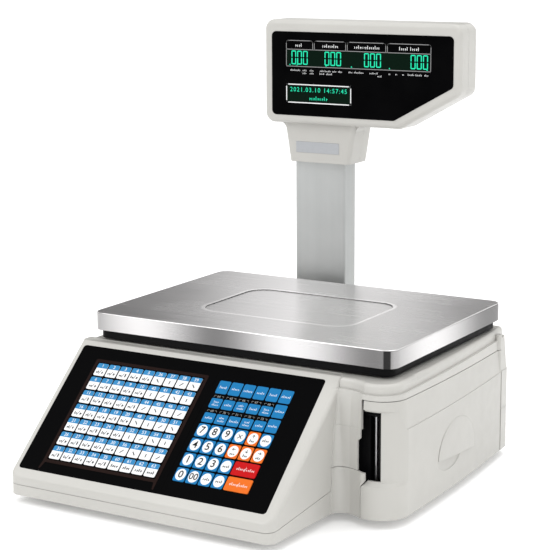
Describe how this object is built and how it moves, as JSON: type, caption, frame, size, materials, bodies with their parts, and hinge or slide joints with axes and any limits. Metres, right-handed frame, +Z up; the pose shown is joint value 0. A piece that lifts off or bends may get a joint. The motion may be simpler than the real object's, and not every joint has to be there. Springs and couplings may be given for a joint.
{
  "type": "retail price scale",
  "caption": "Counter price scale with sloped keyboard, steel platter, side-door label printer and a display head on a rear column.",
  "frame": {"origin": "centre of the outline, on the surface that the levelling feet rest on", "axes": "+Z up, +X to the right of a person at the keyboard, +Y towards the display column"},
  "size_m": [0.4125, 0.488, 0.5025],
  "materials": {
    "case_plastic": "off-white moulded plastic, satin gloss",
    "door_plastic": "off-white moulded plastic, satin gloss",
    "black_film": "black key film, gloss",
    "preset_key": "white printed film",
    "blue_key": "blue printed film",
    "red_key": "red printed film",
    "orange_key": "orange printed film",
    "brown_frame": "dark brown printed frame",
    "stainless": "brushed stainless steel",
    "steel": "bright steel",
    "black_plastic": "black moulded plastic",
    "rubber": "black rubber",
    "aluminium": "satin anodised",
    "window": "smoked black acrylic",
    "circuit_board": "green circuit board",
    "grey_plate": "blank grey plate",
    "paper": "thermal label paper",
    "card": "brown card",
    "brass": "brass",
    "blue_lever": "blue moulded plastic",
    "level_liquid": "bubble level"
  },
  "bodies": {
    "root": {"base_tray": "case_plastic", "upper_housing": "case_plastic", "door_hinge_pin": "steel", "case_screws": "steel", "keypad_overlay": "black_film", "keypad_plate": "circuit_board", "preset_keys": "preset_key", "preset_frame": "brown_frame", "function_keys": "blue_key", "load_cell": "aluminium", "main_board": "circuit_board", "power_supply": "steel", "power_inlet": "black_plastic", "data_ports": "black_plastic", "bubble_level": "level_liquid", "printer_chassis": "steel", "roll_spindle": "black_plastic", "print_frame": "black_plastic", "print_head": "black_plastic", "peel_bar": "steel", "feed_motor": "steel", "pole": "aluminium", "pole_bracket": "case_plastic", "head_front_shell": "case_plastic", "head_rear_shell": "case_plastic", "front_window": "window", "rear_window": "window", "name_plate": "grey_plate", "front_display": "circuit_board", "rear_display": "circuit_board"},
    "printer_door": {"printer_door": "door_plastic", "door_catch": "black_plastic"},
    "platen": {"platen_roller": "rubber", "platen_shaft": "steel", "platen_gear": "black_plastic"},
    "motor_pinion": {"motor_pinion": "brass"},
    "head_lever": {"head_lever": "blue_lever"},
    "label_roll": {"label_roll": "paper", "roll_core": "card"},
    "liner_spool": {"liner_spool": "black_plastic"},
    "platter_carrier": {"platter_carrier": "black_plastic", "carrier_pads": "rubber"},
    "platter": {"platter": "stainless"},
    "power_rocker": {"power_rocker": "black_plastic"},
    "levelling_foot_front_left": {"levelling_foot_front_left": "rubber"},
    "levelling_foot_front_right": {"levelling_foot_front_right": "rubber"},
    "levelling_foot_rear_right": {"levelling_foot_rear_right": "rubber"},
    "levelling_foot_rear_left": {"levelling_foot_rear_left": "rubber"},
    "key_0": {"key_0": "blue_key"},
    "key_1": {"key_1": "blue_key"},
    "key_2": {"key_2": "blue_key"},
    "key_3": {"key_3": "blue_key"},
    "key_4": {"key_4": "blue_key"},
    "key_5": {"key_5": "blue_key"},
    "key_6": {"key_6": "blue_key"},
    "key_7": {"key_7": "blue_key"},
    "key_8": {"key_8": "blue_key"},
    "key_9": {"key_9": "blue_key"},
    "key_red_wide": {"key_red_wide": "red_key"},
    "key_orange_wide": {"key_orange_wide": "orange_key"}
  },
  "joints": [
    {"name": "door_swing", "type": "hinge", "parent": "root", "child": "printer_door", "pos_m": [0.191, 0.162, 0.07], "axis": [0, 0, 1], "range_deg": [0, 90]},
    {"name": "feed_roller_turn", "type": "hinge", "parent": "root", "child": "platen", "pos_m": [0.173, -0.098, 0.08], "axis": [0, 0, 1], "continuous": true},
    {"name": "feed_pinion_turn", "type": "hinge", "parent": "root", "child": "motor_pinion", "pos_m": [0.15813, -0.08759, 0.034], "axis": [0, 0, 1], "continuous": true},
    {"name": "head_lever_lift", "type": "hinge", "parent": "root", "child": "head_lever", "pos_m": [0.156, -0.088, 0.122], "axis": [0, 0, -1], "range_deg": [0, 40]},
    {"name": "label_roll_spin", "type": "hinge", "parent": "root", "child": "label_roll", "pos_m": [0.138, 0.07, 0.076], "axis": [0, 0, 1], "continuous": true},
    {"name": "liner_spool_spin", "type": "hinge", "parent": "root", "child": "liner_spool", "pos_m": [0.126, -0.038, 0.076], "axis": [0, 0, 1], "continuous": true},
    {"name": "carrier_deflect", "type": "slide", "parent": "root", "child": "platter_carrier", "axis": [0, 0, -1], "range_m": [0, 0.0005], "stiffness_N_per_m": 100000, "springref_m": -0.0005},
    {"name": "platter_lift", "type": "slide", "parent": "platter_carrier", "child": "platter", "axis": [0, 0, 1], "range_m": [0, 0.06]},
    {"name": "power_switch_rock", "type": "hinge", "parent": "root", "child": "power_rocker", "pos_m": [-0.178, 0.193, 0.038], "axis": [1, 0, 0], "range_deg": [0, 9]},
    {"name": "foot_front_left_turn", "type": "hinge", "parent": "root", "child": "levelling_foot_front_left", "pos_m": [-0.165, -0.205, 0.008], "axis": [0, 0, 1], "continuous": true},
    {"name": "foot_front_right_turn", "type": "hinge", "parent": "root", "child": "levelling_foot_front_right", "pos_m": [0.088, -0.205, 0.008], "axis": [0, 0, 1], "continuous": true},
    {"name": "foot_rear_right_turn", "type": "hinge", "parent": "root", "child": "levelling_foot_rear_right", "pos_m": [0.16, 0.16, 0.008], "axis": [0, 0, 1], "continuous": true},
    {"name": "foot_rear_left_turn", "type": "hinge", "parent": "root", "child": "levelling_foot_rear_left", "pos_m": [-0.165, 0.16, 0.008], "axis": [0, 0, 1], "continuous": true},
    {"name": "press_key_0", "type": "slide", "parent": "root", "child": "key_0", "axis": [0, 0.6613, -0.7501], "range_m": [0, 0.0006], "stiffness_N_per_m": 1500, "springref_m": -0.0002},
    {"name": "press_key_1", "type": "slide", "parent": "root", "child": "key_1", "axis": [0, 0.6613, -0.7501], "range_m": [0, 0.0006], "stiffness_N_per_m": 1500, "springref_m": -0.0002},
    {"name": "press_key_2", "type": "slide", "parent": "root", "child": "key_2", "axis": [0, 0.6613, -0.7501], "range_m": [0, 0.0006], "stiffness_N_per_m": 1500, "springref_m": -0.0002},
    {"name": "press_key_3", "type": "slide", "parent": "root", "child": "key_3", "axis": [0, 0.6613, -0.7501], "range_m": [0, 0.0006], "stiffness_N_per_m": 1500, "springref_m": -0.0002},
    {"name": "press_key_4", "type": "slide", "parent": "root", "child": "key_4", "axis": [0, 0.6613, -0.7501], "range_m": [0, 0.0006], "stiffness_N_per_m": 1500, "springref_m": -0.0002},
    {"name": "press_key_5", "type": "slide", "parent": "root", "child": "key_5", "axis": [0, 0.6613, -0.7501], "range_m": [0, 0.0006], "stiffness_N_per_m": 1500, "springref_m": -0.0002},
    {"name": "press_key_6", "type": "slide", "parent": "root", "child": "key_6", "axis": [0, 0.6613, -0.7501], "range_m": [0, 0.0006], "stiffness_N_per_m": 1500, "springref_m": -0.0002},
    {"name": "press_key_7", "type": "slide", "parent": "root", "child": "key_7", "axis": [0, 0.6613, -0.7501], "range_m": [0, 0.0006], "stiffness_N_per_m": 1500, "springref_m": -0.0002},
    {"name": "press_key_8", "type": "slide", "parent": "root", "child": "key_8", "axis": [0, 0.6613, -0.7501], "range_m": [0, 0.0006], "stiffness_N_per_m": 1500, "springref_m": -0.0002},
    {"name": "press_key_9", "type": "slide", "parent": "root", "child": "key_9", "axis": [0, 0.6613, -0.7501], "range_m": [0, 0.0006], "stiffness_N_per_m": 1500, "springref_m": -0.0002},
    {"name": "press_key_red_wide", "type": "slide", "parent": "root", "child": "key_red_wide", "axis": [0, 0.6613, -0.7501], "range_m": [0, 0.0006], "stiffness_N_per_m": 1500, "springref_m": -0.0002},
    {"name": "press_key_orange_wide", "type": "slide", "parent": "root", "child": "key_orange_wide", "axis": [0, 0.6613, -0.7501], "range_m": [0, 0.0006], "stiffness_N_per_m": 1500, "springref_m": -0.0002}
  ],
  "couplings": [
    {"joint": "feed_pinion_turn", "follows": "feed_roller_turn", "ratio": -2}
  ]
}
